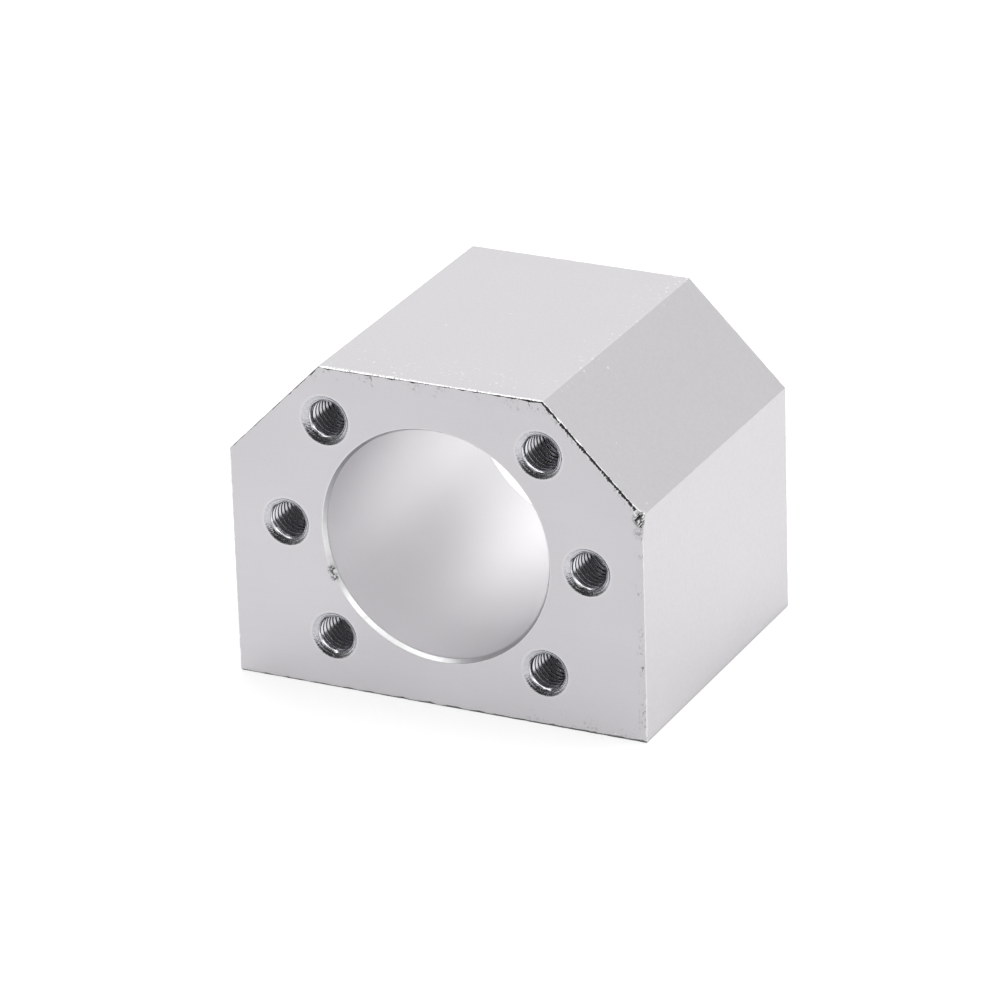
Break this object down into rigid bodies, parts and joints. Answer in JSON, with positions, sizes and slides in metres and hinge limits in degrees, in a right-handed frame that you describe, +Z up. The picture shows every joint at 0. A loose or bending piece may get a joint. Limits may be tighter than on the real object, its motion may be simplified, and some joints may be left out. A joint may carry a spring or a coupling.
{
  "type": "ball screw nut housing",
  "caption": "Aluminium block with cut upper corners that carries a flanged ball nut in a through bore and bolts to a slide through its tapped base.",
  "frame": {"origin": "middle of the base, at the bottom of the block", "axes": "+Z up from the base, the bore and the screw along Y, the tapped front face where the nut's flange seats looking along -Y, the block's width along X"},
  "size_m": [0.052, 0.04, 0.04],
  "materials": {
    "aluminium_block": "blasted and clear anodised along the bar, milled bright on both ends"
  },
  "bodies": {
    "root": {"nut_housing": "aluminium_block"}
  },
  "joints": []
}
